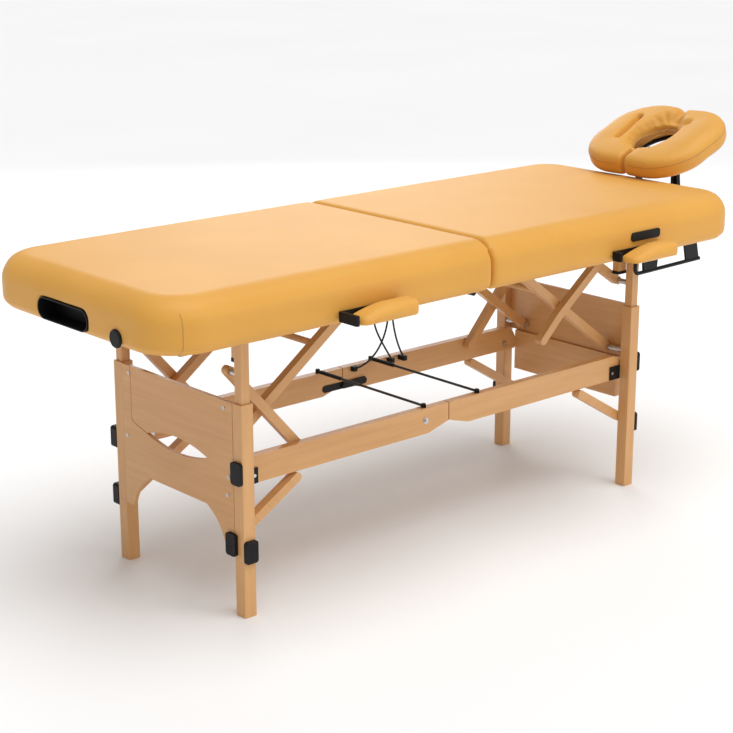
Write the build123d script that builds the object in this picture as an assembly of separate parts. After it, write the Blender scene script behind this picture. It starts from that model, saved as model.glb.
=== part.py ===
from build123d import *
import math
import os

# Portable massage table, millimetres, +Z up, floor at Z = 0. Every shape is drawn in the table's own
# frame, with X = 0 at the centre seam, the foot end at -X and the armrest side at -Y, and is moved by
# SEAM_AT when it is written, so that the origin lies on the floor below the middle of the whole object.

# Top
HALF_L = 930
HALF_W = 350
UNDER_Z = 660
TOP_Z = 780
DECK_T = 14
SEAM_GAP = 0.6
CORNER_R = 90
EDGE_R = 34
SEAM_AT = (-109.1, 35)

# Leg frames
LEG_OUT_X = 660
LEG_OUT_Y = 244
LEG = 33
LEG_TOP = 495
LEG_SPLIT = 150
HOLLOW = 21
TONGUE = 20
TONGUE_TOP = 320
POST = 24
POST_TOP = 653
POST_Y = LEG_OUT_Y - LEG / 2 - 0.5
LEG_IN_X = LEG_OUT_X - LEG
LEG_IN_Y = LEG_OUT_Y - LEG
LEG_X = LEG_OUT_X - LEG / 2
LEG_Y = LEG_OUT_Y - LEG / 2
BOARD_T = 10
BOARD_IN_X = LEG_OUT_X - BOARD_T
BOARD_TOP = 494
FOOT_SCREWS = [(-182, 477), (-195, 321), (-190, 278), (182, 477), (195, 321)]

# Pivots of the fold
HINGE_X = 645
HINGE_Z = 645
PIN_R = 4
PIN_FIT = 0.3

# Side rails and their pivots
RAIL_TOP = 359
RAIL_BOTTOM = 295
RAIL_Y0 = 186
RAIL_Y1 = 207
RAIL_P_X = 600
RAIL_P_Z = 314
RAIL_END_R = 45.6
RAIL_GAP = 1.5
RELIEF = 68
LEAF_T = 2.8

# Clamps on the legs
CLAMP_W = 34
CLAMP_H = 52
CLAMP_R = 7
CLAMP_OUT = 9
KNOB_OUT = 24

# Struts, each in its own lane across the table
TIE_Y0 = 164
TIE_Y1 = 185
PROP_Y0 = 141
PROP_Y1 = 162
STRUT_W = 22
PROP_FOOT = (637, 372)
PROP_HEAD = (262, 645)
TIE_TOP = (640, 556)
TIE_LOW = (448, 342)
BENT_TIE = ((560, 609), (416, 498), (358, 442))
CROSSBAR_AT = 0.7

# Cords
CORD_R = 2.5
TIE_R = 3.2
SLEEVE_R = 5

# Top halves
DECK_HALF_W = 318
DECK_OUT_X = 868
RECESS_Y = 21
RECESS_W = 190
RECESS_H = 44
RECESS_Z = 694
RECESS_DEEP = 42
LINER_T = 2.5
ROD_Y = 85
ROD_Z = 712
ROD_R = 7
SOCKET_R = 11
SOCKET_DEEP = 130
ARM_ROD_Z = 684
ARM_ROD_R = 5
ARM_SOCKET_DEEP = 100
ARM_ROD_PITCH = 60
ARM_L = 176
ARM_W = 62
ARM_Z0 = 667
ARM_Z1 = 705
ARMRESTS = {"foot": -375, "head": 514}
ARM_REACH = {"foot": 58, "head": 26}
PLUG_Y = -185
PLUG_Z = 683
PLUG_R = 20
PLUG_OUT = 6

# Hinges under the top
CENTRE_HINGE_Y = (-250, 0, 250)
KNUCKLE = 18
KNUCKLE_R = 7

# Leg frames
ARCH_TOP = 236
ARCH_FOOT = 150
GROOVE = ((176, 500), (176, 362), (112, 345))
GROOVE_R = 1.6
SLOT_W = 236
SLOT_H = 40
SLOT_Z = 345

# Side rails
CORD_HANG = (128, 646)
CORD_Y = (166.8, 171.9, 177)
ANCHOR_Y = 180.2
CORD_FOOT_Z = 352
CORD_ROUTES = (
    (CORD_Y[1], ((125, 636), (100, 540), (96, 470), (128, 402), (160, CORD_FOOT_Z))),
    (CORD_Y[2], ((128, 636), (146, 540), (148, 460), (124, 402), (34, CORD_FOOT_Z))),
    (CORD_Y[0], ((131, 636), (150, 520), (160, 450), (200, CORD_FOOT_Z))),
)
TOGGLE_Y0 = CORD_Y[0] - 4.5
TOGGLE_Y1 = CORD_Y[2] + 5
HANG_PIN_R = 3
TIE_X = {"foot": -75, "head": 106}
RAIL_MID_Y = (RAIL_Y0 + RAIL_Y1) / 2

# Face cradle
CRADLE_X = 1000
CRADLE_Z = 864
CRADLE_TILT = 22
CRADLE_L = 320
CRADLE_W = 380
CRADLE_T = 70
CRADLE_R = 130
PLATE_T = 6
PIVOT_X = 1006
PIVOT_Z = 792
UPRIGHT_Y = 62
EAR_Y = 54

os.makedirs("parts", exist_ok=True)


def block(x0, x1, y0, y1, z0, z1):
    """A box from its lowest to its highest corner."""
    x0, x1 = sorted((x0, x1))
    y0, y1 = sorted((y0, y1))
    return Pos((x0 + x1) / 2, (y0 + y1) / 2, (z0 + z1) / 2) * Box(x1 - x0, y1 - y0, z1 - z0)


def rod_y(x, z, r, y0, y1):
    """A round bar along Y."""
    return Pos(x, (y0 + y1) / 2, z) * Rot(90, 0, 0) * Cylinder(r, abs(y1 - y0))


def rod_x(y, z, r, x0, x1):
    """A round bar along X."""
    return Pos((x0 + x1) / 2, y, z) * Rot(0, 90, 0) * Cylinder(r, abs(x1 - x0))


def slab(face, y0, y1):
    """A face drawn as (x, z) points, given its thickness along Y from y0 to y1."""
    y0, y1 = sorted((y0, y1))
    return extrude(Plane.XZ.offset(-y0) * face, amount=-(y1 - y0))


def bar(p, q, width, y0, y1):
    """A flat bar with round ends in the XZ plane, from point p to point q."""
    length = math.dist(p, q)
    turn = math.degrees(math.atan2(q[1] - p[1], q[0] - p[0]))
    middle = ((p[0] + q[0]) / 2, (p[1] + q[1]) / 2)
    face = Pos(*middle) * Rot(0, 0, turn) * SlotCenterToCenter(length, width)
    return slab(face, y0, y1)


def one(shape):
    """The single solid of a shape."""
    return shape.solids()[0] if len(shape.solids()) == 1 else Compound(shape.solids())


def write(node, shape):
    shape = Pos(*SEAM_AT, 0) * shape
    solids = shape.solids()
    shape = solids[0] if len(solids) == 1 else Compound(solids)
    shape.label = node
    export_step(shape, f"parts/{node}.step")


def end_write(node, sign, shape):
    """Writes a piece that was drawn for the foot end (-X), mirrored when it belongs to the head end."""
    write(node, shape if sign < 0 else mirror(shape, Plane.YZ))


# ---------------------------------------------------------------- top halves
def pad_block(x0, x1, outer_x):
    """One half of the upholstered top: rounded outer corners, rolled top edge and a softer seam edge."""
    seam_x = x1 if outer_x == x0 else x0
    body = block(x0, x1, -HALF_W, HALF_W, UNDER_Z, TOP_Z)
    corners = body.edges().filter_by(Axis.Z).filter_by(lambda e: abs(e.center().X - outer_x) < 1)
    body = fillet(corners, CORNER_R)
    top = body.edges().filter_by(lambda e: abs(e.center().Z - TOP_Z) < 0.5)
    rim = [e for e in top if abs(e.center().X - seam_x) > 1]
    body = fillet(rim, EDGE_R)
    return body


def deck(x0, x1):
    return block(x0, x1, -DECK_HALF_W, DECK_HALF_W, UNDER_Z, UNDER_Z + DECK_T)


def recess_face(grow):
    return SlotOverall(RECESS_W + 2 * grow, RECESS_H + 2 * grow)


def recess_solid(grow, deep):
    """The stadium of the carry recess, pushed in from the foot end."""
    start = Plane((-HALF_L - 1, RECESS_Y, RECESS_Z), x_dir=(0, 1, 0), z_dir=(1, 0, 0))
    return extrude(start * recess_face(grow), amount=deep + 1)


def top_halves():
    for name, sign in (("foot", -1), ("head", 1)):
        outer = sign * HALF_L
        x0, x1 = sorted((outer, sign * SEAM_GAP))
        pad = pad_block(x0, x1, outer)
        board = deck(*sorted((sign * DECK_OUT_X, sign * 14)))
        pad = pad - board
        if name == "foot":
            pad = pad - recess_solid(LINER_T, RECESS_DEEP + LINER_T)
            liner = recess_solid(LINER_T, RECESS_DEEP + LINER_T) - recess_solid(0, RECESS_DEEP)
            liner = liner - block(-HALF_L - 5, -HALF_L, -HALF_W, HALF_W, UNDER_Z, TOP_Z)
            write("foot_carry_recess_liner", liner)
            plug_base = rod_x(PLUG_Y, PLUG_Z, 5, -HALF_L - 1, -HALF_L + 14)
            pad = pad - plug_base
            plug = rod_x(PLUG_Y, PLUG_Z, 5, -HALF_L + 14, -HALF_L) + rod_x(
                PLUG_Y, PLUG_Z, PLUG_R, -HALF_L - PLUG_OUT, -HALF_L)
            plug = fillet(plug.edges().sort_by(Axis.X)[0], 4)
            write("foot_end_plug", plug)
        else:
            sockets = []
            for y in (-ROD_Y, ROD_Y):
                hole = rod_x(y, ROD_Z, SOCKET_R, HALF_L - SOCKET_DEEP, HALF_L + 1)
                pad = pad - hole
                tube = rod_x(y, ROD_Z, SOCKET_R, HALF_L - SOCKET_DEEP, HALF_L)
                flange = rod_x(y, ROD_Z, SOCKET_R + 6, HALF_L, HALF_L + 2)
                bore = rod_x(y, ROD_Z, ROD_R + 0.4, HALF_L - SOCKET_DEEP + 4, HALF_L + 3)
                sockets.append(tube + flange - bore)
            write("cradle_sockets", Compound(sockets))
        centre = ARMRESTS[name]
        for x in (centre - ARM_ROD_PITCH, centre + ARM_ROD_PITCH):
            pad = pad - rod_y(x, ARM_ROD_Z, ARM_ROD_R + 0.4, -HALF_W - 1, -HALF_W + ARM_SOCKET_DEEP)
        write(f"{name}_pad", pad)
        write(f"{name}_deck", board)


top_halves()


# ---------------------------------------------------------------- hinges under the top
def leg_hinges():
    """Cheek brackets on the underside that straddle each leg post, and the pins through the posts."""
    cheeks = []
    pins = []
    for side in (-1, 1):
        inner = side * (POST_Y - POST / 2 - 0.5)
        outer = side * (POST_Y + POST / 2 + 0.5)
        for y0, y1 in ((inner, inner - side * 3), (outer, outer + side * 3)):
            plate = block(-HINGE_X - 14, -HINGE_X + 14, y0, y1, HINGE_Z - 12, UNDER_Z)
            low = plate.edges().filter_by(Axis.Y).sort_by(Axis.Z)[:2]
            plate = fillet(low, 10)
            flange_y = y1 + (y1 - y0)
            flange = block(-HINGE_X + 8, -HINGE_X + 30, y0, flange_y, UNDER_Z - 3, UNDER_Z)
            plate = plate + flange
            cheeks.append(plate - rod_y(-HINGE_X, HINGE_Z, PIN_R + PIN_FIT, y0 - 9, y1 + 9))
        pin = rod_y(-HINGE_X, HINGE_Z, PIN_R, inner - side * 5, outer + side * 5)
        pins.append(pin)
    return [one(c) for c in cheeks], pins


def stop_blocks(sign, name):
    """Wooden blocks with a black foot, screwed under the top beside each leg post."""
    blocks = []
    feet = []
    for side in (-1, 1):
        y0, y1 = side * 187, side * 208
        blocks.append(block(-640, -612, y0, y1, 588, UNDER_Z))
        foot = block(-642, -610, side * 186, side * 209, 580, 588)
        feet.append(fillet(foot.edges().filter_by(Axis.Z), 3))
    end_write(f"{name}_stop_blocks", sign, Compound(blocks))
    return feet


def prop_catches():
    """U-shaped catches under the top that hold the upper ends of the props."""
    catches = []
    for side in (-1, 1):
        y0, y1 = side * (PROP_Y0 - 4), side * (PROP_Y1 + 4)
        outer = block(-PROP_HEAD[0] - 22, -PROP_HEAD[0] + 24, y0, y1, 632, UNDER_Z)
        slot = block(-PROP_HEAD[0] - 30, -PROP_HEAD[0] + 30, side * (PROP_Y0 - 0.8),
                     side * (PROP_Y1 + 0.8), 620, UNDER_Z - 3)
        catches.append(one(outer - slot))
    return catches


def centre_hinges():
    """Butt hinges across the seam, their pin as low as the leg hinges."""
    leaves = {-1: [], 1: []}
    for y in CENTRE_HINGE_Y:
        for sign, spots in ((-1, (-1.5, 0.5)), (1, (-0.5, 1.5))):
            parts = None
            for spot in spots:
                y0 = y + (spot - 0.5) * KNUCKLE + 0.4
                y1 = y0 + KNUCKLE - 0.8
                knuckle = rod_y(0, HINGE_Z, KNUCKLE_R, y0, y1)
                arm = block(sign * 1, sign * 12, y0, y1, HINGE_Z - 3, UNDER_Z)
                piece = knuckle + arm
                parts = piece if parts is None else parts + piece
            plate = block(sign * 9, sign * 58, y - 2 * KNUCKLE, y + 2 * KNUCKLE, UNDER_Z - 3, UNDER_Z)
            parts = parts + plate
            parts = parts - rod_y(0, HINGE_Z, PIN_R - 1 + (PIN_FIT if sign > 0 else 0), y - 60, y + 60)
            leaves[sign].append(one(parts))
    pins = [rod_y(0, HINGE_Z, PIN_R - 1, y - 2 * KNUCKLE - 2, y + 2 * KNUCKLE + 2) for y in CENTRE_HINGE_Y]
    write("foot_centre_hinge_leaves", Compound(leaves[-1] + pins))
    write("head_centre_hinge_leaves", Compound(leaves[1]))


for end_sign, end_name in ((-1, "foot"), (1, "head")):
    brackets = leg_hinges()[0] + prop_catches() + stop_blocks(end_sign, end_name)
    end_write(f"{end_name}_under_top_brackets", end_sign, Compound(brackets))
centre_hinges()


# ---------------------------------------------------------------- leg frames
def legs(sign, name):
    """Hollow upper legs with their posts, and the lower legs that slide in them."""
    for side, side_name in ((-1, "near"), (1, "far")):
        x0, x1 = -LEG_OUT_X, -LEG_IN_X
        y0, y1 = side * LEG_IN_Y, side * LEG_OUT_Y
        upper = block(x0, x1, y0, y1, LEG_SPLIT, LEG_TOP)
        upper = fillet(upper.edges().filter_by(Axis.Z), 2.5)
        hollow = Pos(-LEG_X, side * LEG_Y, (LEG_SPLIT + 466) / 2) * Box(HOLLOW, HOLLOW, 466 - LEG_SPLIT + 2)
        post = Pos(-LEG_X, side * POST_Y, (LEG_TOP + POST_TOP) / 2) * Box(POST, POST, POST_TOP - LEG_TOP)
        post = fillet(post.edges().filter_by(Axis.Z), 2)
        post = post - rod_y(-HINGE_X, HINGE_Z, PIN_R, side * 200, side * 250)
        end_write(f"{name}_leg_{side_name}", sign, Compound([one(upper - hollow), one(post)]))
        lower = block(x0, x1, y0, y1, 0, LEG_SPLIT - 0.4)
        lower = fillet(lower.edges().filter_by(Axis.Z), 2.5)
        tongue_z = (LEG_SPLIT - 0.4 + TONGUE_TOP) / 2
        tongue = Pos(-LEG_X, side * LEG_Y, tongue_z) * Box(TONGUE, TONGUE, TONGUE_TOP - LEG_SPLIT + 0.4)
        end_write(f"{name}_lower_leg_{side_name}", sign, lower + tongue)


def foot_board():
    """End board between the foot legs, with a lens-shaped hand slot and an arch below."""
    half = LEG_IN_Y
    outline = Polyline((-180, ARCH_FOOT), (-half, ARCH_FOOT), (-half, BOARD_TOP), (half, BOARD_TOP),
                       (half, ARCH_FOOT), (180, ARCH_FOOT))
    right = TangentArc((180, ARCH_FOOT), (110, ARCH_TOP), tangent=(-0.25, 1))
    flat = Line((110, ARCH_TOP), (-110, ARCH_TOP))
    left = TangentArc((-180, ARCH_FOOT), (-110, ARCH_TOP), tangent=(0.25, 1))
    face = make_face([outline, right, flat, left])
    upper = ThreePointArc((-SLOT_W / 2, SLOT_Z), (0, SLOT_Z + SLOT_H / 2), (SLOT_W / 2, SLOT_Z))
    lower = ThreePointArc((SLOT_W / 2, SLOT_Z), (0, SLOT_Z - SLOT_H / 2), (-SLOT_W / 2, SLOT_Z))
    face = face - make_face([upper, lower])
    plane = Plane((-LEG_OUT_X, 0, 0), x_dir=(0, 1, 0), z_dir=(1, 0, 0))
    board = extrude(plane * face, amount=BOARD_T)
    path = FilletPolyline(*[(-LEG_OUT_X, y, z) for y, z in GROOVE], radius=14)
    groove = sweep(Plane(path @ 0, z_dir=path % 0) * Circle(GROOVE_R), path=path)
    return one(board - groove)


def head_boards():
    upper = block(BOARD_IN_X, LEG_OUT_X, -LEG_IN_Y, LEG_IN_Y, 348, BOARD_TOP)
    lower = block(BOARD_IN_X - 8, LEG_OUT_X, -TIE_Y1, TIE_Y1, 236, 347.6)
    write("head_end_boards", Compound([upper, lower]))


def screws(points, x, direction, r=4.5, t=1.6):
    """Round screw heads with a cross socket, lying on an end board."""
    heads = []
    for y, z in points:
        head = rod_x(y, z, r, x, x + direction * t)
        cross = block(x + direction * (t - 0.6), x + direction * (t + 1), y - 0.6, y + 0.6, z - 2.6, z + 2.6)
        cross += block(x + direction * (t - 0.6), x + direction * (t + 1), y - 2.6, y + 2.6, z - 0.6, z + 0.6)
        heads.append(one(head - cross))
    return Compound(heads)


def leg_clamp(x_dir, y_dir, x, y, z, out=CLAMP_OUT):
    """A rounded black clamp on the end face or the side face of a leg, standing out from it."""
    if x_dir:
        plate = block(x, x + x_dir * out, y - CLAMP_W / 2, y + CLAMP_W / 2, z - CLAMP_H / 2, z + CLAMP_H / 2)
        edges = plate.edges().filter_by(Axis.X)
    else:
        plate = block(x - CLAMP_W / 2, x + CLAMP_W / 2, y, y + y_dir * out, z - CLAMP_H / 2, z + CLAMP_H / 2)
        edges = plate.edges().filter_by(Axis.Y)
    return fillet(edges, CLAMP_R)


def clamps():
    foot = [leg_clamp(-1, 0, -LEG_OUT_X, -LEG_Y - 1, 338), leg_clamp(0, -1, -LEG_X, -LEG_OUT_Y, 156),
            leg_clamp(-1, 0, -LEG_OUT_X, -LEG_Y + 22, 168), leg_clamp(0, 1, -LEG_X, LEG_OUT_Y, 301, KNOB_OUT),
            leg_clamp(0, 1, -LEG_X, LEG_OUT_Y, 156, KNOB_OUT)]
    head = [leg_clamp(1, 0, LEG_OUT_X, -LEG_Y, 341), leg_clamp(1, 0, LEG_OUT_X, -LEG_Y, 174),
            leg_clamp(0, 1, LEG_X, LEG_OUT_Y, 301), leg_clamp(0, 1, LEG_X, LEG_OUT_Y, 160)]
    hangers = rail_hangers()[0]
    write("foot_leg_fittings", Compound(foot + hangers))
    write("head_leg_fittings", Compound(head + [mirror(hanger, Plane.YZ) for hanger in hangers]))


def rail_hangers():
    """Plates on the inner faces of the legs that carry the pivots of the side rails, and the pivots."""
    plates = []
    pins = []
    for side in (-1, 1):
        face = Pos(-620, RAIL_P_Z) * Rectangle(58, 36)
        plate = slab(face, side * (LEG_IN_Y - 3.4), side * LEG_IN_Y)
        plates.append(one(plate - rod_y(-RAIL_P_X, RAIL_P_Z, PIN_R, side * 200, side * 214)))
        pin = rod_y(-RAIL_P_X, RAIL_P_Z, PIN_R, side * (RAIL_Y0 - 1), side * LEG_IN_Y)
        head = rod_y(-RAIL_P_X, RAIL_P_Z, PIN_R + 3, side * (RAIL_Y0 - 4), side * (RAIL_Y0 - 0.4))
        pins.append(one(pin + head))
    return plates, pins


def knees():
    """Slanted knee braces between each leg and the underside of its rail."""
    low = (-645, 182)
    high = (-478, 281)
    braces = []
    for side in (-1, 1):
        brace = bar(low, high, STRUT_W, side * 188, side * LEG_IN_Y)
        brace = brace - block(-520, -440, -300, 300, RAIL_BOTTOM - 0.6, RAIL_BOTTOM + 30)
        brace = brace - block(-700, -BOARD_IN_X, -300, 300, 100, 300)
        braces.append(one(brace))
    return braces


def ties(name):
    """Fixed struts from the posts down towards the rails, and their spacer bolts; one at the head is bent."""
    pieces = []
    bolts = []
    for side in (-1, 1):
        lane = (side * TIE_Y0, side * TIE_Y1)
        tie = bar((-TIE_TOP[0], TIE_TOP[1]), (-TIE_LOW[0], TIE_LOW[1]), STRUT_W, *lane)
        if name == "head" and side < 0:
            points = [(-TIE_TOP[0], TIE_TOP[1])] + [(-x, z) for x, z in BENT_TIE]
            tie = bar(points[0], points[1], STRUT_W, *lane)
            tie = tie + bar(points[1], points[2], STRUT_W, *lane) + bar(points[2], points[3], STRUT_W, *lane)
        bolt_y = (side * (TIE_Y0 - 3), side * (POST_Y - POST / 2))
        tie = tie - rod_y(-TIE_TOP[0], TIE_TOP[1], 4, *bolt_y)
        pieces.append(one(tie))
        bolt = rod_y(-TIE_TOP[0], TIE_TOP[1], 4, *bolt_y)
        bolt = bolt + rod_y(-TIE_TOP[0], TIE_TOP[1], 7, side * TIE_Y1, side * (POST_Y - POST / 2))
        bolt = bolt + rod_y(-TIE_TOP[0], TIE_TOP[1], 7, side * (TIE_Y0 - 3), side * TIE_Y0)
        bolts.append(one(bolt))
    return pieces, bolts


def props(sign, name):
    """Swinging props from the legs up to the catches, joined by a crossbar, on long leg bolts."""
    pieces = []
    bolts = []
    foot = (-PROP_FOOT[0], PROP_FOOT[1])
    head = (-PROP_HEAD[0], PROP_HEAD[1])
    for side in (-1, 1):
        prop = bar(foot, head, STRUT_W, side * PROP_Y0, side * PROP_Y1)
        pieces.append(one(prop - rod_y(*foot, PIN_R + PIN_FIT, side * 100, side * 240)))
        bolt = rod_y(*foot, PIN_R, side * (PROP_Y0 - 1), side * LEG_IN_Y)
        bolt = bolt + rod_y(*foot, PIN_R + 3, side * (PROP_Y0 - 5), side * (PROP_Y0 - 0.5))
        bolt = bolt + rod_y(*foot, PIN_R + 3, side * (PROP_Y1 + 0.5), side * LEG_IN_Y)
        bolts.append(one(bolt))
    x = foot[0] + CROSSBAR_AT * (head[0] - foot[0])
    z = foot[1] + CROSSBAR_AT * (head[1] - foot[1])
    pieces.append(rod_y(x, z, 8, -PROP_Y0, PROP_Y0))
    end_write(f"{name}_props", sign, Compound(pieces))
    return bolts


for end_sign, end_name in ((-1, "foot"), (1, "head")):
    legs(end_sign, end_name)
    struts, strut_bolts = ties(end_name)
    end_write(f"{end_name}_braces", end_sign, Compound(struts + knees()))
    bolts = strut_bolts + rail_hangers()[1] + props(end_sign, end_name) + leg_hinges()[1]
    end_write(f"{end_name}_pivot_bolts", end_sign, Compound(bolts))
write("foot_end_board", foot_board())
head_boards()
write("foot_board_screws", screws(FOOT_SCREWS, -LEG_OUT_X, -1))
clamps()


# ---------------------------------------------------------------- side rails
def rails(sign, name):
    """One half of each side rail: round pivot end at the leg, butt end at the centre, relieved below."""
    face_w = RAIL_TOP - RAIL_BOTTOM
    inner = RAIL_Y0 if sign < 0 else RAIL_Y0 + 0.4
    for side, side_name in ((-1, "near"), (1, "far")):
        y0, y1 = side * inner, side * RAIL_Y1
        bar_part = block(-RAIL_P_X, -RAIL_GAP, y0, y1, RAIL_BOTTOM, RAIL_TOP)
        end = rod_y(-RAIL_P_X, RAIL_P_Z, RAIL_END_R, y0, y1)
        end = end & block(-RAIL_P_X - 60, -RAIL_P_X, y0, y1, RAIL_BOTTOM, RAIL_BOTTOM + face_w)
        relief = make_face(Polyline((0, RAIL_P_Z), (-RELIEF, RAIL_BOTTOM - 0.1), (10, RAIL_BOTTOM - 0.1),
                                    (10, RAIL_P_Z), close=True))
        rail = bar_part + end - slab(relief, side * 150, side * 250)
        rail = rail - rod_y(-RAIL_P_X, RAIL_P_Z, PIN_R + PIN_FIT, side * 150, side * 250)
        end_write(f"{name}_rail_{side_name}", sign, one(rail))


def rail_hinges():
    """Strap leaves on the inner faces of the rails at the centre, with their pins."""
    foot, head, pins = [], [], []
    for side in (-1, 1):
        y0 = side * RAIL_Y0
        y1 = side * (RAIL_Y0 - LEAF_T)
        y2 = side * (RAIL_Y0 - 2 * LEAF_T - 0.2)
        leaf = bar((-60, RAIL_P_Z), (0, RAIL_P_Z), 18, y0, y1)
        foot.append(one(leaf - rod_y(0, RAIL_P_Z, 3, side * 170, side * 190)))
        leaf = bar((0, RAIL_P_Z), (70, RAIL_P_Z), 18, y1 - side * 0.2, y2)
        leaf = leaf - rod_y(0, RAIL_P_Z, 6.1, side * 170, side * 190)
        packer = block(44, 76, y1 - side * 0.2, side * (RAIL_Y0 + 0.4), RAIL_P_Z - 9, RAIL_P_Z + 9)
        head.append(one(leaf + packer))
        pin = rod_y(0, RAIL_P_Z, 3, y0, y2 - side * 1)
        pin = pin + rod_y(0, RAIL_P_Z, 7, y2 - side * 0.6, y2 - side * 3)
        pins.append(one(pin))
    write("foot_rail_leaves", Compound(foot + pins))
    write("head_rail_leaves", Compound(head))


def cross_ties(name):
    """A taut cord over both rails with its knobs, and the head rail's anchors for the hanging cords."""
    x = TIE_X[name]
    z = RAIL_TOP + TIE_R + 0.8
    write(f"{name}_cross_tie", rod_y(x, z, TIE_R, -RAIL_MID_Y, RAIL_MID_Y))
    knobs = []
    for side in (-1, 1):
        knob = Pos(x, side * RAIL_MID_Y, RAIL_TOP + 5) * Cylinder(6, 10)
        knob = fillet(knob.edges().filter_by(GeomType.CIRCLE).sort_by(Axis.Z)[-1], 2)
        knobs.append(one(knob - rod_y(x, z, TIE_R, -250, 250)))
    sleeve = rod_y(x, z, SLEEVE_R, RAIL_MID_Y - 90, RAIL_Y0 - 2) - rod_y(x, z, TIE_R, 0, 250)
    anchors = []
    if name == "head":
        for foot_x in (points[-1][0] for _, points in CORD_ROUTES):
            anchors.append(block(foot_x - 6, foot_x + 6, ANCHOR_Y, RAIL_Y0 + 0.4, CORD_FOOT_Z - 6, RAIL_TOP))
    write(f"{name}_tie_ends", Compound(knobs + [one(sleeve)] + anchors))


def rail_bolt():
    """The round-headed bolt with its washer on the outer face of the near foot rail."""
    washer = rod_y(-77, 328, 8, -RAIL_Y1, -RAIL_Y1 - 1.2)
    head = rod_y(-77, 328, 4.5, -RAIL_Y1 - 1.2, -RAIL_Y1 - 4.2)
    write("rail_bolt", Compound([washer, head]))


for end_sign, end_name in ((-1, "foot"), (1, "head")):
    rails(end_sign, end_name)
    cross_ties(end_name)
rail_hinges()
rail_bolt()

# ---------------------------------------------------------------- hanging cords at the far rail
def hanging_cords():
    """Three cords from a toggle under the top to the far head rail, gathered by a small clip."""
    x, z = CORD_HANG
    tubes = []
    for y, points in CORD_ROUTES:
        path = Spline(*[(px, y, pz) for px, pz in points])
        tube = sweep(Plane(path @ 0, z_dir=path % 0) * Circle(CORD_R), path=path)
        tubes.append(one(tube))
    write("hanging_cords", Compound(tubes))
    toggle = rod_y(x, z, 7, TOGGLE_Y0, TOGGLE_Y1) + block(x - 7, x + 7, TOGGLE_Y0, TOGGLE_Y1, z - 12, z - 6)
    toggle = toggle - rod_y(x, z, HANG_PIN_R + PIN_FIT, TOGGLE_Y0 - 1, TOGGLE_Y1 + 1)
    for tube in tubes:
        toggle = toggle - tube
    pin = rod_y(x, z, HANG_PIN_R, TOGGLE_Y0 - 6, TOGGLE_Y1 + 6)
    lugs = [pin]
    for y in (TOGGLE_Y0 - 3, TOGGLE_Y1 + 3):
        lugs.append(one(block(x - 8, x + 8, y - 2, y + 2, z - 8, UNDER_Z) - pin))
    write("cord_hanger", Compound(lugs))
    clip = block(x + 11, x + 29, CORD_Y[0] - 4, CORD_Y[2] + 4, 470, 486)
    clip = fillet(clip.edges().filter_by(Axis.Y), 4)
    for tube in tubes:
        clip = clip - tube
    write("cord_clip", one(clip))
    shoes = []
    for y, points in CORD_ROUTES:
        foot_x = points[-1][0]
        shoe = block(foot_x - 6, foot_x + 6, y - 4, ANCHOR_Y - 0.3, CORD_FOOT_Z - 6, RAIL_TOP)
        for tube in tubes:
            shoe = shoe - tube
        shoes.append(one(shoe))
    write("cord_toggle_and_ends", Compound([one(toggle)] + shoes))


hanging_cords()


# ---------------------------------------------------------------- armrests
def armrests():
    """The padded armrests beside the top, each with a backing plate, a bent arm at its tail and two rods."""
    face_y = -HALF_W - 2
    for name, centre in ARMRESTS.items():
        tail, nose = centre - ARM_L / 2, centre + ARM_L / 2
        pad = block(tail, nose, face_y - 5 - ARM_W, face_y - 5, ARM_Z0, ARM_Z1)
        pad = fillet(pad.edges().filter_by(Axis.Z).sort_by(Axis.Y)[:2], 22)
        pad = fillet([e for e in pad.edges() if abs(e.center().Z - ARM_Z1) < 0.5], 13)
        write(f"{name}_armrest_pad", pad)
        plate = block(tail - 12, nose - 16, face_y - 5, face_y, ARM_ROD_Z - 10, ARM_ROD_Z + 10)
        arm = block(tail - 12, tail - 4, face_y - ARM_REACH[name], face_y, ARM_ROD_Z - 13, ARM_ROD_Z + 10)
        arm = fillet(arm.edges().filter_by(Axis.Z).sort_by(Axis.Y)[:1], 3)
        write(f"{name}_armrest_bracket", one(plate + arm))
        rods = []
        for x in (centre - ARM_ROD_PITCH, centre + ARM_ROD_PITCH):
            rods.append(rod_y(x, ARM_ROD_Z, ARM_ROD_R, -HALF_W + ARM_SOCKET_DEEP - 8, face_y))
        write(f"{name}_armrest_rods", Compound(rods))


armrests()


# ---------------------------------------------------------------- under the head end
def head_frame_bits():
    """The black hanging frame under the near side of the head half, and the plate on its side."""
    y = -272
    path = FilletPolyline((600, y, UNDER_Z), (600, y, 594), (862, y, 598), radius=14)
    tube = sweep(Plane(path @ 0, z_dir=path % 0) * Circle(5), path=path)
    left = make_face(Polyline((624, UNDER_Z), (690, UNDER_Z), (684, 596), (632, 596), close=True))
    right = make_face(Polyline((792, UNDER_Z), (842, UNDER_Z), (858, 598), (806, 598), close=True))
    straps = [one(slab(left, y - 3, y + 3)), one(slab(right, y - 3, y + 3))]
    straps = [one(strap - tube) for strap in straps]
    write("hanging_frame", Compound([one(tube)] + straps))
    plate = block(484, 592, -HALF_W - 4, -HALF_W, 708, 730)
    plate = chamfer(plate.edges().filter_by(Axis.Y), 5)
    write("side_handle_plate", plate)


head_frame_bits()


# ---------------------------------------------------------------- face cradle


def tilted(shape):
    """Takes a shape drawn flat around the origin to the tilted plane of the cradle."""
    return Pos(CRADLE_X, 0, CRADLE_Z) * Rot(0, -CRADLE_TILT, 0) * shape


def face_hole(grow, depth):
    """The face opening, an oval with a narrow throat that runs out towards the table."""
    oval = Pos(-4, 0) * Ellipse(78 + grow, 54 + grow)
    throat = Pos(-110, 0) * Rectangle(160, 22 + 2 * grow)
    return extrude(oval + throat, amount=depth / 2, both=True)


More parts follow.
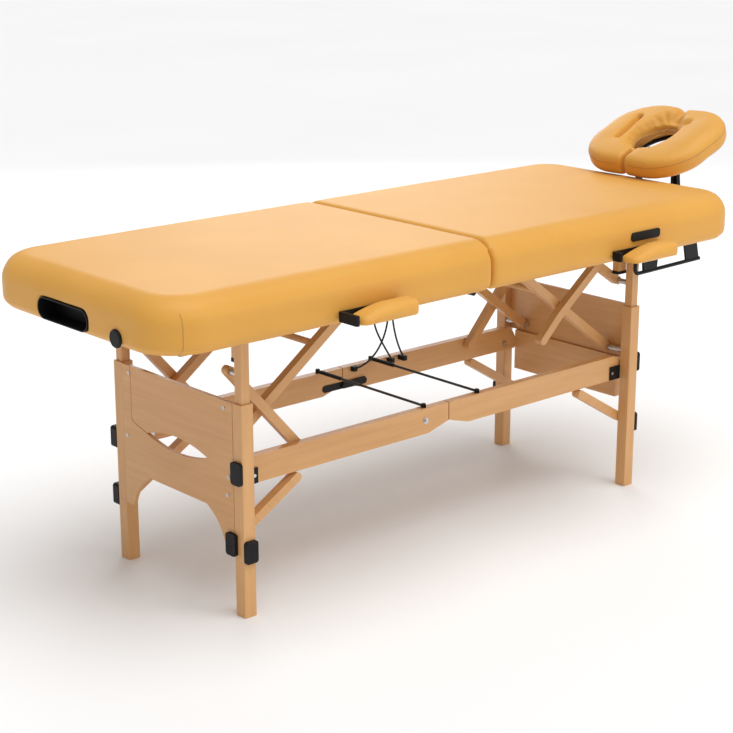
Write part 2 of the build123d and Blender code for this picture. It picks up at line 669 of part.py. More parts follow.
def cradle():
    outline = RectangleRounded(CRADLE_L, CRADLE_W, CRADLE_R)
    cushion = extrude(outline, amount=CRADLE_T / 2, both=True)
    rim = [e for e in cushion.edges() if abs(abs(e.center().Z) - CRADLE_T / 2) < 0.5]
    cushion = fillet(rim, 24) - face_hole(0, CRADLE_T + 10)
    write("cradle_cushion", tilted(one(cushion)))

    low = -CRADLE_T / 2 - 0.3
    plate = extrude(RectangleRounded(220, 290, 60), amount=PLATE_T / 2, both=True)
    plate = Pos(32, 0, low - PLATE_T / 2) * plate
    plate = plate - Pos(0, 0, low) * face_hole(16, 40)
    rest = Pos(58, -20, low - PLATE_T) * extrude(Rot(0, 0, 25) * Ellipse(40, 17), amount=PLATE_T)
    platform = tilted(one(plate + rest))
    for side in (-1, 1):
        ear = make_face(Polyline((PIVOT_X - 14, PIVOT_Z + 46), (PIVOT_X - 10, PIVOT_Z - 9),
                                 (PIVOT_X + 10, PIVOT_Z - 9), (PIVOT_X + 40, PIVOT_Z + 62), close=True))
        ear = slab(ear, side * EAR_Y, side * (EAR_Y + 5))
        above = tilted(Pos(0, 0, low - PLATE_T / 2 + 100) * Box(600, 600, 200))
        platform = platform + (ear - above)
    platform = platform - rod_y(PIVOT_X, PIVOT_Z, 4.3, -100, 100)
    write("cradle_platform", one(platform))

    rods = []
    uprights = []
    for side in (-1, 1):
        rods.append(rod_x(side * ROD_Y, ROD_Z, ROD_R, HALF_L - SOCKET_DEEP + 6, PIVOT_X))
        lane = (side * (UPRIGHT_Y - 2), side * (UPRIGHT_Y + 4))
        upright = bar((PIVOT_X, ROD_Z), (PIVOT_X, PIVOT_Z), 24, *lane)
        uprights.append(upright - rod_y(PIVOT_X, PIVOT_Z, 4, -100, 100))
    cross = rod_y(PIVOT_X, ROD_Z, 9, -ROD_Y - 10, ROD_Y + 10)
    rods = [one(rod - cross) for rod in rods]
    uprights = [one(upright - cross) for upright in uprights]
    write("cradle_uprights", Compound(uprights))
    bolt = rod_y(PIVOT_X, PIVOT_Z, 4, -UPRIGHT_Y - 16, UPRIGHT_Y + 8)
    bolt = bolt + rod_y(PIVOT_X, PIVOT_Z, 8, UPRIGHT_Y + 4.5, UPRIGHT_Y + 10)
    write("cradle_rods", Compound(rods + [cross, one(bolt)]))
    lever = bar((PIVOT_X, PIVOT_Z), (PIVOT_X + 8, PIVOT_Z - 66), 14, -UPRIGHT_Y - 5, -UPRIGHT_Y - 13)
    lever = lever - rod_y(PIVOT_X, PIVOT_Z, 4.3, -100, 100)
    write("cradle_lever", one(lever))


cradle()
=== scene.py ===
import math

import bmesh
import bpy
from mathutils import Matrix, Vector, noise


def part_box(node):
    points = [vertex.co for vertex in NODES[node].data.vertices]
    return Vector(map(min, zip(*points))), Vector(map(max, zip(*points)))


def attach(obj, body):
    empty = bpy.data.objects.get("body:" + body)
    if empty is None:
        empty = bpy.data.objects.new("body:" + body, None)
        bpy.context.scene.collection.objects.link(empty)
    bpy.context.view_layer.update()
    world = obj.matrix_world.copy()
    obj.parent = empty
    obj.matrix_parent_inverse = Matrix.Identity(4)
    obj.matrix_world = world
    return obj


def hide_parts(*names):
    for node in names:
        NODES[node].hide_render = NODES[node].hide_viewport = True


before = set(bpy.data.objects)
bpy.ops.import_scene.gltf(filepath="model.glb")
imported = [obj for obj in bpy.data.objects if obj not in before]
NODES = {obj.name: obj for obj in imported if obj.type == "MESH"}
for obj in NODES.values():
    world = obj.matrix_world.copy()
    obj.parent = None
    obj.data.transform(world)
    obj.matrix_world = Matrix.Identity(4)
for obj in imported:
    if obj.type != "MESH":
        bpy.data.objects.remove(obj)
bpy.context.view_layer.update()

# The place of the centre seam on the floor, in metres, from the two pads
PAD_LOW, PAD_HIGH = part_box("foot_pad")
SEAM = Vector((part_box("head_pad")[0][0], (PAD_LOW[1] + PAD_HIGH[1]) / 2, 0.0))


# ------------------------------------------------------------------ shader helpers
class Shader:
    """A small node-tree writer: one Principled surface and the nodes that feed it."""

    def __init__(self, name):
        self.material = bpy.data.materials.new(name)
        self.material.use_nodes = True
        self.tree = self.material.node_tree
        self.surface = self.tree.nodes["Principled BSDF"]

    def node(self, kind, **values):
        made = self.tree.nodes.new(kind)
        for key, value in values.items():
            if key in made.inputs:
                made.inputs[key].default_value = value
            else:
                setattr(made, key, value)
        return made

    def link(self, out, into):
        self.tree.links.new(out, into)

    def place(self, scale):
        """Object coordinates, stretched by scale."""
        coords = self.node("ShaderNodeTexCoord")
        mapping = self.node("ShaderNodeMapping")
        mapping.inputs["Scale"].default_value = scale
        self.link(coords.outputs["Object"], mapping.inputs["Vector"])
        return mapping.outputs["Vector"]

    def turned_place(self, turn, scale):
        """Object coordinates, turned about the object axes and then stretched."""
        coords = self.node("ShaderNodeTexCoord")
        first = self.node("ShaderNodeMapping")
        first.inputs["Rotation"].default_value = turn
        second = self.node("ShaderNodeMapping")
        second.inputs["Scale"].default_value = scale
        self.link(coords.outputs["Object"], first.inputs["Vector"])
        self.link(first.outputs["Vector"], second.inputs["Vector"])
        return second.outputs["Vector"]

    def ramp(self, factor, stops):
        ramp = self.node("ShaderNodeValToRGB")
        elements = ramp.color_ramp.elements
        while len(elements) < len(stops):
            elements.new(0.5)
        for element, (place, colour) in zip(elements, stops):
            element.position = place
            element.color = (*colour, 1.0)
        self.link(factor, ramp.inputs["Fac"])
        return ramp.outputs["Color"]

    def mix(self, a, b, factor, mode="MIX"):
        """Two colours mixed."""
        mix = self.node("ShaderNodeMix", data_type="RGBA", blend_type=mode)
        sockets = {socket.identifier: socket for socket in mix.inputs}
        sockets["Factor_Float"].default_value = factor
        self.link(a, sockets["A_Color"])
        self.link(b, sockets["B_Color"])
        return next(socket for socket in mix.outputs if socket.identifier == "Result_Color")

    def bump(self, height, strength, distance, below=None):
        bump = self.node("ShaderNodeBump", Strength=strength, Distance=distance)
        self.link(height, bump.inputs["Height"])
        if below is not None:
            self.link(below, bump.inputs["Normal"])
        return bump.outputs["Normal"]


WOOD_ROUGH = 0.38


def wood(name, turn, pale, deep):
    """Beech: long fine grain along X of the turned space, small pores and a slow change of tone."""
    s = Shader(name)
    grain = s.node("ShaderNodeTexNoise", Scale=1.0, Detail=9.0, Roughness=0.62, Distortion=0.5)
    s.link(s.turned_place(turn, (5.0, 90.0, 90.0)), grain.inputs["Vector"])
    tone = s.node("ShaderNodeTexNoise", Scale=1.0, Detail=3.0)
    s.link(s.turned_place(turn, (1.6, 9.0, 9.0)), tone.inputs["Vector"])
    mixed = s.mix(s.ramp(grain.outputs["Fac"], [(0.30, deep), (0.72, pale)]),
                  s.ramp(tone.outputs["Fac"], [(0.32, deep), (0.66, pale)]), 0.45)
    pores = s.node("ShaderNodeTexVoronoi", Scale=1.0)
    s.link(s.turned_place(turn, (60.0, 900.0, 900.0)), pores.inputs["Vector"])
    flecks = s.ramp(pores.outputs["Distance"], [(0.05, (0.72, 0.66, 0.6)), (0.16, (1.0, 1.0, 1.0))])
    s.link(s.mix(mixed, flecks, 0.55, "MULTIPLY"), s.surface.inputs["Base Color"])
    s.link(s.bump(grain.outputs["Fac"], 0.10, 0.0006), s.surface.inputs["Normal"])
    rough = s.ramp(grain.outputs["Fac"], [(0.3, (WOOD_ROUGH + 0.1,) * 3), (0.7, (WOOD_ROUGH - 0.04,) * 3)])
    s.link(rough, s.surface.inputs["Roughness"])
    s.surface.inputs["Coat Weight"].default_value = 0.18
    s.surface.inputs["Coat Roughness"].default_value = 0.3
    return s.material


def plywood(name):
    """Thin veneers seen from the edge, with the same tone on the faces."""
    s = Shader(name)
    bands = s.node("ShaderNodeTexWave", Scale=1.0, Distortion=0.6, Detail=2.0, bands_direction="Z")
    s.link(s.place((1.5, 1.5, 130.0)), bands.inputs["Vector"])
    grain = s.node("ShaderNodeTexNoise", Scale=1.0, Detail=7.0)
    s.link(s.place((4.0, 70.0, 40.0)), grain.inputs["Vector"])
    mixed = s.mix(s.ramp(bands.outputs["Fac"], [(0.2, (0.33, 0.2, 0.1)), (0.8, (0.62, 0.43, 0.25))]),
                  s.ramp(grain.outputs["Fac"], [(0.3, (0.44, 0.28, 0.15)), (0.7, (0.64, 0.45, 0.26))]), 0.6)
    s.link(mixed, s.surface.inputs["Base Color"])
    s.link(s.bump(grain.outputs["Fac"], 0.15, 0.0005), s.surface.inputs["Normal"])
    s.surface.inputs["Roughness"].default_value = 0.55
    return s.material


def vinyl(name):
    """Upholstery vinyl: warm tan, a fine pebbled grain and a soft sheen."""
    s = Shader(name)
    cells = s.node("ShaderNodeTexVoronoi", Scale=620.0, feature="SMOOTH_F1")
    s.link(s.place((1.0, 1.0, 1.0)), cells.inputs["Vector"])
    soft = s.node("ShaderNodeTexNoise", Scale=5.0, Detail=4.0)
    s.link(s.place((1.0, 1.0, 1.0)), soft.inputs["Vector"])
    tone = s.ramp(soft.outputs["Fac"], [(0.3, (0.715, 0.352, 0.058)), (0.7, (0.755, 0.380, 0.068))])
    s.link(tone, s.surface.inputs["Base Color"])
    waves = s.bump(soft.outputs["Fac"], 0.06, 0.01)
    s.link(s.bump(cells.outputs["Distance"], 0.16, 0.0006, waves), s.surface.inputs["Normal"])
    rough = s.ramp(cells.outputs["Distance"], [(0.0, (0.43,) * 3), (0.8, (0.52,) * 3)])
    s.link(rough, s.surface.inputs["Roughness"])
    s.surface.inputs["Specular IOR Level"].default_value = 0.33
    s.surface.inputs["Sheen Weight"].default_value = 0.06
    s.surface.inputs["Sheen Roughness"].default_value = 0.5
    s.surface.inputs["Subsurface Weight"].default_value = 0.04
    return s.material


def plain(name, dark, light, rough, grain, metal=0.0, strength=0.1, specular=0.5):
    """A moulded, painted or plated surface: fine grain in colour, gloss and relief."""
    s = Shader(name)
    fine = s.node("ShaderNodeTexNoise", Scale=grain, Detail=5.0)
    s.link(s.place((1.0, 1.0, 1.0)), fine.inputs["Vector"])
    broad = s.node("ShaderNodeTexNoise", Scale=grain / 40.0, Detail=3.0)
    s.link(s.place((1.0, 1.0, 1.0)), broad.inputs["Vector"])
    s.link(s.ramp(broad.outputs["Fac"], [(0.3, dark), (0.7, light)]), s.surface.inputs["Base Color"])
    level = s.ramp(fine.outputs["Fac"], [(0.3, (rough - 0.06,) * 3), (0.7, (rough + 0.08,) * 3)])
    s.link(level, s.surface.inputs["Roughness"])
    s.link(s.bump(fine.outputs["Fac"], strength, 0.0004), s.surface.inputs["Normal"])
    s.surface.inputs["Metallic"].default_value = metal
    s.surface.inputs["Specular IOR Level"].default_value = specular
    return s.material


def braid(name):
    """Braided black cord or webbing: a tight diamond weave."""
    s = Shader(name)
    one = s.node("ShaderNodeTexWave", Scale=260.0, bands_direction="DIAGONAL")
    s.link(s.place((1.0, 1.0, 1.0)), one.inputs["Vector"])
    two = s.node("ShaderNodeTexWave", Scale=260.0, bands_direction="DIAGONAL")
    s.link(s.place((-1.0, 1.0, 1.0)), two.inputs["Vector"])
    weave = s.mix(one.outputs["Color"], two.outputs["Color"], 1.0, "MULTIPLY")
    s.link(s.ramp(weave, [(0.1, (0.008, 0.008, 0.009)), (0.9, (0.035, 0.035, 0.038))]),
           s.surface.inputs["Base Color"])
    s.link(s.bump(weave, 0.5, 0.0006), s.surface.inputs["Normal"])
    s.surface.inputs["Roughness"].default_value = 0.78
    s.surface.inputs["Sheen Weight"].default_value = 0.3
    return s.material


BEECH_PALE = (0.75, 0.415, 0.165)
BEECH_DEEP = (0.62, 0.31, 0.108)
QUARTER = math.pi / 2
BEECH_X = wood("beech_along_x", (0.0, 0.0, 0.0), BEECH_PALE, BEECH_DEEP)
BEECH_Y = wood("beech_along_y", (0.0, 0.0, QUARTER), BEECH_PALE, BEECH_DEEP)
BEECH_Z = wood("beech_along_z", (0.0, QUARTER, 0.0), BEECH_PALE, BEECH_DEEP)
BEECH_RISE = wood("beech_rising", (0.0, 0.63, 0.0), BEECH_PALE, BEECH_DEEP)
BEECH_FALL = wood("beech_falling", (0.0, -0.8, 0.0), BEECH_PALE, BEECH_DEEP)
PLY = plywood("plywood_board")
VINYL = vinyl("tan_vinyl")
PLASTIC = plain("black_plastic", (0.004, 0.004, 0.004), (0.009, 0.009, 0.010), 0.48, 900.0, specular=0.22)
BLACK_METAL = plain("black_powder_coat", (0.005, 0.005, 0.005), (0.011, 0.011, 0.012), 0.42, 1400.0,
                    strength=0.2, specular=0.25)
STEEL = plain("zinc_steel", (0.52, 0.52, 0.53), (0.68, 0.68, 0.70), 0.30, 700.0, metal=1.0)
CORD = braid("black_braid")
ORANGE = plain("orange_plastic", (0.70, 0.13, 0.015), (0.86, 0.20, 0.03), 0.3, 500.0)
THREAD = plain("tan_thread", (0.36, 0.19, 0.06), (0.50, 0.28, 0.10), 0.7, 2400.0)


def finish_of(node):
    """The material of a CAD node, by what it is."""
    if node in ("foot_cross_tie", "head_cross_tie", "hanging_cords"):
        return CORD
    if node == "cord_clip":
        return ORANGE
    if node.endswith("_deck"):
        return PLY
    if node.endswith(("_rods", "_screws", "_pivot_bolts", "rail_bolt")):
        return STEEL
    if node.endswith(("brackets", "_leaves", "hanging_frame", "cord_hanger", "uprights")):
        return BLACK_METAL
    if "_rail_" in node:
        return BEECH_X
    if node in ("foot_braces", "head_props"):
        return BEECH_FALL
    if node in ("head_braces", "foot_props"):
        return BEECH_RISE
    if node.endswith(("_end_board", "_end_boards")):
        return BEECH_Y
    if "_leg_near" in node or "_leg_far" in node or node.endswith("_stop_blocks"):
        return BEECH_Z
    if "pad" in node or node == "cradle_cushion":
        return VINYL
    return PLASTIC


def dress(obj, material):
    obj.data.materials.clear()
    obj.data.materials.append(material)


for node_name, node_object in NODES.items():
    dress(node_object, finish_of(node_name))


# ------------------------------------------------------------------ soft pieces
# Voxel sizes of the covers, metres
PAD_VOXEL = 0.007
ARMREST_VOXEL = 0.0045
CUSHION_VOXEL = 0.0055

# Cloth: pressure in the cover, frames simulated, and how far a point may move
PRESSURE = 4.0
LAST_FRAME = 20
ARMREST_CAP = 0.005
CUSHION_CAP = 0.006

# Pads: seam edge, crown, borders, corners in plan, ripple, and room round the liner
SEAM_ROUND = 0.016
CROWN = 0.004
TOP_ROUND = 0.058
BOTTOM_ROUND = 0.026
CAD_EDGE = 0.034
CAD_CORNER = 0.090
CORNERS = {"foot": 0.118, "head": 0.100}
RIPPLE = 0.0006
LINER_ROOM = 0.0012

# Armrests: how much smaller they start, and the taper of their tail
ARMREST_START = Vector((0.975, 0.93, 0.92))
TAIL_DROP = 0.020
TAIL_LENGTH = 0.09


def copy_of(node, name):
    """A new object with a copy of a CAD node's mesh."""
    made = bpy.data.objects.new(name, NODES[node].data.copy())
    bpy.context.scene.collection.objects.link(made)
    return made


def apply_all(obj):
    """Turns the modifiers into mesh."""
    graph = bpy.context.evaluated_depsgraph_get()
    mesh = bpy.data.meshes.new_from_object(obj.evaluated_get(graph))
    obj.modifiers.clear()
    old = obj.data
    obj.data = mesh
    bpy.data.meshes.remove(old)


def remesh(obj, size):
    """An even mesh over the whole piece, a little relaxed."""
    skin = obj.modifiers.new("voxels", "REMESH")
    skin.mode = "VOXEL"
    skin.voxel_size = size
    relax = obj.modifiers.new("relax", "SMOOTH")
    relax.factor = 0.5
    relax.iterations = 4
    apply_all(obj)


def swell(obj, cap):
    """Blows a closed cover up with cloth simulation and keeps each point within cap of where it was."""
    before = [v.co.copy() for v in obj.data.vertices]
    cloth = obj.modifiers.new("cover", "CLOTH")
    settings = cloth.settings
    settings.use_pressure = True
    settings.uniform_pressure_force = PRESSURE
    settings.effector_weights.gravity = 0.0
    settings.quality = 5
    settings.tension_stiffness = 20
    settings.compression_stiffness = 18
    settings.bending_stiffness = 1.2
    cloth.point_cache.frame_start = 1
    cloth.point_cache.frame_end = LAST_FRAME
    scene = bpy.context.scene
    for number in range(1, LAST_FRAME + 1):
        scene.frame_set(number)
    graph = bpy.context.evaluated_depsgraph_get()
    after = bpy.data.meshes.new_from_object(obj.evaluated_get(graph))
    obj.modifiers.clear()
    for vertex, start, end in zip(obj.data.vertices, before, after.vertices):
        move = end.co - start
        if move.length > cap:
            move = move.normalized() * cap
        vertex.co = start + move
    bpy.data.meshes.remove(after)
    scene.frame_set(1)


def move_points(obj, shift):
    """Moves each point by what shift says of its place and its normal."""
    normals = [v.normal.copy() for v in obj.data.vertices]
    for vertex, normal in zip(obj.data.vertices, normals):
        vertex.co = vertex.co + shift(vertex.co, normal)
    obj.data.update()


def finish_soft(obj, body, node):
    sub = obj.modifiers.new("fine", "SUBSURF")
    sub.levels = sub.render_levels = 1
    for polygon in obj.data.polygons:
        polygon.use_smooth = True
    dress(obj, VINYL)
    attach(obj, body)
    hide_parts(node)


def step(edge, width, value):
    """0 to 1 as value passes edge, over width, smoothly."""
    t = min(1.0, max(0.0, (value - edge) / width + 0.5))
    return t * t * (3 - 2 * t)


def from_segment(p, a, b):
    """The shortest way from the segment a to b out to p, as a vector."""
    span = b - a
    t = min(1.0, max(0.0, (p - a).dot(span) / span.length_squared))
    return p - a - span * t


def to_segment(p, a, b):
    return from_segment(p, a, b).length


def rounder(a, b, old, new):
    """Scales a point beyond a corner's centre so that a corner of radius old becomes one of radius new."""
    if a <= 0 or b <= 0:
        return a, b
    reach = math.hypot(a, b)
    ua, ub = a / reach, b / reach
    edge = new / max(ua, ub)
    gap = new - old
    if min(ua, ub) * edge > gap:
        along = gap * (ua + ub)
        edge = along + math.sqrt(along ** 2 - 2 * gap ** 2 + old ** 2)
    return a * new / edge, b * new / edge


def bullnose(inset, height, thick):
    """New inset and height for a border that is rounded above and below."""
    if height > thick - TOP_ROUND:
        run, rise = rounder(TOP_ROUND - inset, height - thick + TOP_ROUND, CAD_EDGE, TOP_ROUND)
        return TOP_ROUND - run, thick - TOP_ROUND + rise
    run, rise = rounder(BOTTOM_ROUND - inset, BOTTOM_ROUND - height, 0.0, BOTTOM_ROUND)
    return BOTTOM_ROUND - run, BOTTOM_ROUND - rise


class Recess:
    """The hollow of the pad round the carry recess; its walls stay clear of the liner."""

    def __init__(self, node):
        self.low, self.high = (Vector(corner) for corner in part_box(node))
        self.radius = (self.high.z - self.low.z) / 2
        z = (self.high.z + self.low.z) / 2
        self.start = Vector((self.low.y + self.radius, z))
        self.end = Vector((self.high.y - self.radius, z))

    def way_out(self, point):
        return from_segment(point.yz, self.start, self.end)

    def holds(self, point):
        near = self.way_out(point).length < self.radius + 0.004
        return near and self.low.x + 0.004 < point.x < self.high.x + 0.006

    def clear(self, point):
        """How a point of the hollow moves: deeper at its floor, outwards at its walls."""
        deeper = 0.005 if point.x > self.high.x - 0.008 else 0.0
        out = self.way_out(point)
        gap = self.radius + LINER_ROOM - out.length
        if gap <= 0 or out.length < self.radius * 0.6:
            return Vector((deeper, 0.0, 0.0))
        out = out.normalized() * gap
        return Vector((deeper, out.x, out.y))


def half_pad(end):
    """One half of the top: crowned, with a rounded border, round corners and a rolled seam edge."""
    node = f"{end}_pad"
    low, high = (Vector(corner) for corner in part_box(node))
    pad = copy_of(node, f"{end}_pad_cover")
    remesh(pad, PAD_VOXEL)
    outward = -1.0 if end == "foot" else 1.0
    seam_x = high.x if end == "foot" else low.x
    length = high.x - low.x
    middle_y = (low.y + high.y) / 2
    half_w = (high.y - low.y) / 2
    thick = high.z - low.z
    corner = CORNERS[end]
    recess = Recess("foot_carry_recess_liner") if end == "foot" else None

    def shape(point, normal):
        if recess and recess.holds(point):
            return recess.clear(point)
        along = (point.x - seam_x) * outward
        side = math.copysign(1.0, point.y - middle_y)
        across = abs(point.y - middle_y)
        x_out, y_out = rounder(along - length + corner, across - half_w + corner, CAD_CORNER, corner)
        inset = corner - (math.hypot(x_out, y_out) if x_out > 0 and y_out > 0 else max(x_out, y_out))
        height = point.z - low.z
        new_inset, new_height = bullnose(inset, height, thick)
        shift = new_inset - inset
        if x_out > 0 and y_out > 0:
            reach = math.hypot(x_out, y_out)
            x_out, y_out = x_out * (1 - shift / reach), y_out * (1 - shift / reach)
        elif x_out > y_out:
            x_out -= shift
        else:
            y_out -= shift
        along = x_out + length - corner
        across = y_out + half_w - corner
        if along < SEAM_ROUND:
            drop = SEAM_ROUND - math.sqrt(max(0.0, SEAM_ROUND ** 2 - (SEAM_ROUND - max(along, 0.0)) ** 2))
            new_height -= drop * step(0.86, 0.10, new_height / thick)
            across -= drop * step(0.955, 0.03, across / half_w)
        crown = max(0.0, 1 - (across / half_w) ** 2) * max(0.0, 1 - (2 * along / length - 1) ** 2)
        new_height += CROWN * crown * step(0.8, 0.2, new_height / thick)
        made = Vector((seam_x + outward * along, middle_y + side * across, low.z + new_height))
        ripple = noise.noise(Vector((point.x * 9.0, point.y * 9.0, point.z * 22.0)))
        return made - point + normal * (RIPPLE * ripple)

    move_points(pad, shape)
    finish_soft(pad, f"{end}_half", node)
    return pad


def armrest(end):
    """An armrest pad: full at its nose, low at its tail."""
    node = f"{end}_armrest_pad"
    pad = copy_of(node, f"{end}_armrest_cover")
    low, high = (Vector(corner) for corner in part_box(node))
    middle = (low + high) / 2
    for vertex in pad.data.vertices:
        vertex.co = middle + Vector(a * b for a, b in zip(vertex.co - middle, ARMREST_START))
    remesh(pad, ARMREST_VOXEL)
    swell(pad, ARMREST_CAP)
    tail = low.x if end == "foot" else low.x + 0.01

    def shape(point, _):
        near_end = max(0.0, 1 - (point.x - tail) / TAIL_LENGTH)
        taper = -TAIL_DROP * near_end ** 1.5 * step(0.45, 0.5, (point.z - low.z) / (high.z - low.z))
        return Vector((0.0, 0.0, taper))

    move_points(pad, shape)
    finish_soft(pad, f"{end}_armrest", node)


# The cradle's own space: origin at the middle of its cushion, X away from the table, Z out of its face
CRADLE_LOW, CRADLE_HIGH = (Vector(corner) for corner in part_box("cradle_cushion"))
CRADLE_MIDDLE = (CRADLE_LOW + CRADLE_HIGH) / 2
CRADLE_TILT = math.radians(22)
CRADLE_SPACE = Matrix.Translation(CRADLE_MIDDLE) @ Matrix.Rotation(-CRADLE_TILT, 4, "Y")
TO_CRADLE = CRADLE_SPACE.inverted()

# The cushion: how flat it starts, half its thickness, and the oval opening with its rounded lip
CUSHION_START = 0.90
CUSHION_HALF = 0.0315
HOLE_X = -0.004
HOLE_SIZE = (0.078, 0.054)
LIP_DROP = 0.016
HOLE_FLARE = 0.020

# Pressed-in lines of the cushion: start, end, half width and depth, in the cradle's space
CREASE = (Vector((0.092, -0.008)), Vector((0.20, 0.012)), 0.022, 0.017)
SLIT = (Vector((-0.055, 0.088)), Vector((0.060, 0.100)), 0.0135, 0.030)
DIMPLE = (Vector((0.062, -0.066)), 0.024, 0.013)


def groove(distance, half_width, depth):
    """How deep a sewn channel presses at a distance from its line."""
    if distance >= half_width:
        return 0.0
    return depth * (0.5 + 0.5 * math.cos(math.pi * distance / half_width))


def channel(flat, start, end, half_width, depth):
    return groove(to_segment(flat, start, end), half_width, depth)


def cradle_cushion():
    """The face cushion: two full lobes round the opening, with a crease, a slit and a dimple."""
    cushion = copy_of("cradle_cushion", "cradle_cushion_cover")
    for vertex in cushion.data.vertices:
        local = TO_CRADLE @ vertex.co
        local.z *= CUSHION_START
        vertex.co = CRADLE_SPACE @ local
    remesh(cushion, CUSHION_VOXEL)
    swell(cushion, CUSHION_CAP)

    def shape(point, normal):
        local = TO_CRADLE @ point
        up = TO_CRADLE.to_3x3() @ normal
        flat = local.xy
        level = local.z / CUSHION_HALF
        face = step(0.0, 0.6, level)
        hole = Vector((flat.x - HOLE_X, flat.y))
        oval = math.hypot(hole.x / HOLE_SIZE[0], hole.y / HOLE_SIZE[1])
        move = Vector((0.0, 0.0, 0.0))
        if 0.9 < oval < 1.55 and flat.x > -0.09:
            lip = 1 - step(1.28, 0.5, oval)
            move.z -= LIP_DROP * lip * face
            outward = Vector((hole.x, hole.y, 0.0)).normalized()
            move += outward * (HOLE_FLARE * lip * (1 - step(0.1, 1.0, level)))
        move.z -= channel(flat, *CREASE) * step(-0.2, 0.6, up.z)
        move.z -= channel(flat, *SLIT) * step(0.2, 0.4, up.z)
        place, radius, depth = DIMPLE
        move.z -= groove((flat - place).length, radius, depth) * step(0.3, 0.5, up.z) * face
        for side in (-1, 1):
            rim = to_segment(flat, Vector((-0.03, side * 0.125)), Vector((0.05, side * 0.125)))
            move.z += 0.003 * (1 - step(0.03, 0.06, rim)) * face
        return CRADLE_SPACE.to_3x3() @ move

    move_points(cushion, shape)
    finish_soft(cushion, "cradle_head", "cradle_cushion")
    return cushion


# ------------------------------------------------------------------ seams
# Border seams: distance from the table's seam, height above the pad's underside, length, points, radius
BORDER_SEAM_X = 0.871
BORDER_SEAM_LOW = 0.004
BORDER_SEAM_LENGTH = 0.088
BORDER_SEAM_POINTS = 30
BORDER_THREAD = 0.0007

# Band seam of the cushion: height in the cradle's space, points, radius
BAND_SEAM_HEIGHT = 0.010
BAND_SEAM_POINTS = 150
BAND_THREAD = 0.0008


def surface_point(obj, start, direction):
    """Where a ray first meets a piece."""
    hit, place, _, _ = obj.ray_cast(start, direction)
    return place if hit else None


def thread(name, points, radius, body):
    """A sewn seam: a thin line of thread that lies half sunk on a surface."""
    curve = bpy.data.curves.new(name, "CURVE")
    curve.dimensions = "3D"
    curve.bevel_depth = radius
    curve.bevel_resolution = 2
    spline = curve.splines.new("POLY")
    spline.points.add(len(points) - 1)
    for target, point in zip(spline.points, points):
        target.co = (*point, 1.0)
    made = bpy.data.objects.new(name, curve)
    bpy.context.scene.collection.objects.link(made)
    curve.materials.append(THREAD)
    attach(made, body)


def pad_stitches(pad):
    """The upright seams in the pad's border, one on each long side near the foot end."""
    low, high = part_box("foot_pad")
    x = SEAM.x - BORDER_SEAM_X
    for side, start_y in (("near", low[1] - 0.2), ("far", high[1] + 0.2)):
        direction = Vector((0.0, 1.0 if side == "near" else -1.0, 0.0))
        points = []
        for k in range(BORDER_SEAM_POINTS):
            z = low[2] + BORDER_SEAM_LOW + k / (BORDER_SEAM_POINTS - 1) * BORDER_SEAM_LENGTH
            found = surface_point(pad, Vector((x, start_y, z)), direction)
            if found:
                points.append(found)
        thread(f"border_seam_{side}", points, BORDER_THREAD, "foot_half")


def cushion_seam(cushion):
    """The seam round the cushion between its face and its side band."""
    points = []
    for k in range(BAND_SEAM_POINTS):
        angle = 2 * math.pi * k / BAND_SEAM_POINTS
        out = Vector((math.cos(angle), math.sin(angle), 0.0))
        start = CRADLE_SPACE @ (out * 0.5 + Vector((0.0, 0.0, BAND_SEAM_HEIGHT)))
        found = surface_point(cushion, start, CRADLE_SPACE.to_3x3() @ -out)
        local = TO_CRADLE @ found
        throat = local.x < -0.10 and abs(local.y) < 0.022
        if not throat:
            points.append(found)
    first = max(range(len(points)), key=lambda i: (points[i] - points[i - 1]).length)
    thread("cradle_band_seam", points[first:] + points[:first], BAND_THREAD, "cradle_head")


FOOT_PAD = half_pad("foot")
half_pad("head")
for arm_end in ("foot", "head"):
    armrest(arm_end)
CUSHION = cradle_cushion()
bpy.context.view_layer.update()
pad_stitches(FOOT_PAD)
cushion_seam(CUSHION)


# ------------------------------------------------------------------ floor, light and camera
def floor():
    """A wide pale floor, just under the feet."""
    mesh = bpy.data.meshes.new("floor")
    b = bmesh.new()
    bmesh.ops.create_grid(b, x_segments=1, y_segments=1, size=30.0)
    b.to_mesh(mesh)
    b.free()
    made = bpy.data.objects.new("floor", mesh)
    bpy.context.scene.collection.objects.link(made)
    s = Shader("pale_floor")
    fine = s.node("ShaderNodeTexNoise", Scale=40.0, Detail=3.0)
    s.link(s.ramp(fine.outputs["Fac"], [(0.3, (0.88, 0.88, 0.88)), (0.7, (0.90, 0.90, 0.90))]),
           s.surface.inputs["Base Color"])
    s.surface.inputs["Roughness"].default_value = 0.9
    made.data.materials.append(s.material)
    made.location.z = -0.0005
    return made


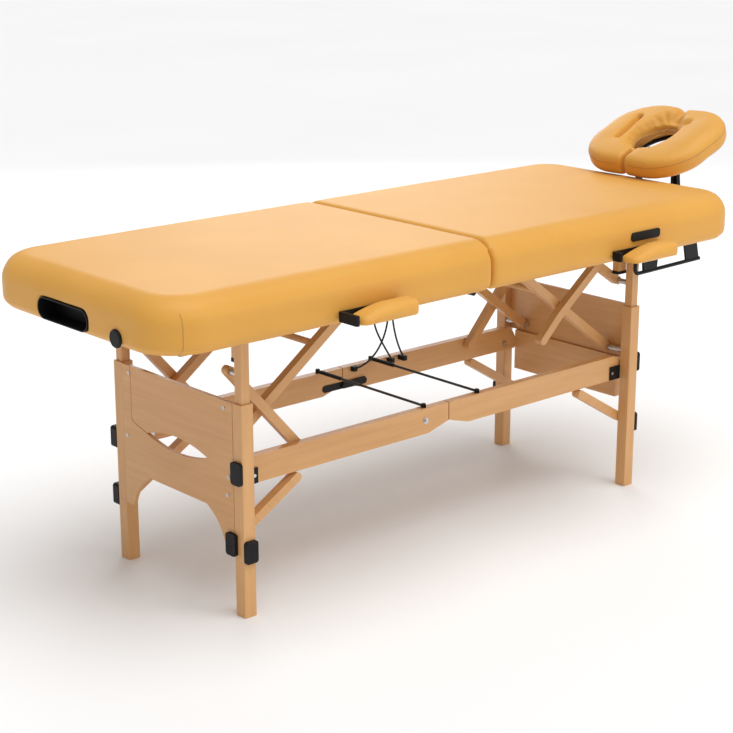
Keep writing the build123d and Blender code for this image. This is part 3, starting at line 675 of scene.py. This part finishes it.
def area(name, place, target, size, power):
    """A soft round light at place, aimed at target."""
    light = bpy.data.lights.new(name, "AREA")
    light.shape = "DISK"
    light.size = size
    light.energy = power
    made = bpy.data.objects.new(name, light)
    bpy.context.scene.collection.objects.link(made)
    made.location = place
    aim = (Vector(target) - Vector(place)).to_track_quat("-Z", "Y")
    made.rotation_euler = aim.to_euler()
    return made


def camera(azimuth, elevation, place, lens):
    """A camera at place that looks level-headed along azimuth and elevation, in degrees."""
    a, e = math.radians(azimuth), math.radians(elevation)
    back = Vector((math.sin(a) * math.cos(e), -math.cos(a) * math.cos(e), math.sin(e)))
    right = Vector((math.cos(a), math.sin(a), 0.0))
    up = back.cross(right)
    data = bpy.data.cameras.new("camera")
    data.lens = lens
    data.sensor_width = 36.0
    made = bpy.data.objects.new("camera", data)
    turn = Matrix((right, up, back)).transposed().to_4x4()
    made.matrix_world = Matrix.Translation(place) @ turn
    bpy.context.scene.collection.objects.link(made)
    bpy.context.scene.camera = made


def sun(name, direction, spread, strength):
    """A broad even light from a direction, for the whole floor."""
    light = bpy.data.lights.new(name, "SUN")
    light.angle = math.radians(spread)
    light.energy = strength
    made = bpy.data.objects.new(name, light)
    bpy.context.scene.collection.objects.link(made)
    made.rotation_euler = Vector(direction).to_track_quat("Z", "Y").to_euler()
    return made


stage = [floor()]
stage.append(sun("ceiling", (0.05, -0.28, 1.0), 60.0, 2.2))
stage.append(area("key", (1.4, -4.0, 1.9), (0.0, 0.0, 0.4), 2.4, 24.0))
stage.append(area("back", (2.6, 3.6, 2.6), (0.0, 0.0, 0.7), 3.0, 48.0))

world = bpy.data.worlds.new("studio")
world.use_nodes = True
world.node_tree.nodes["Background"].inputs["Color"].default_value = (1.0, 1.0, 1.0, 1.0)
world.node_tree.nodes["Background"].inputs["Strength"].default_value = 0.40
bpy.context.scene.world = world
bpy.context.scene.view_settings.view_transform = "Standard"

camera(-41.67, 16.21, SEAM + Vector((-2.848, -3.106, 1.6285)), 86.3)
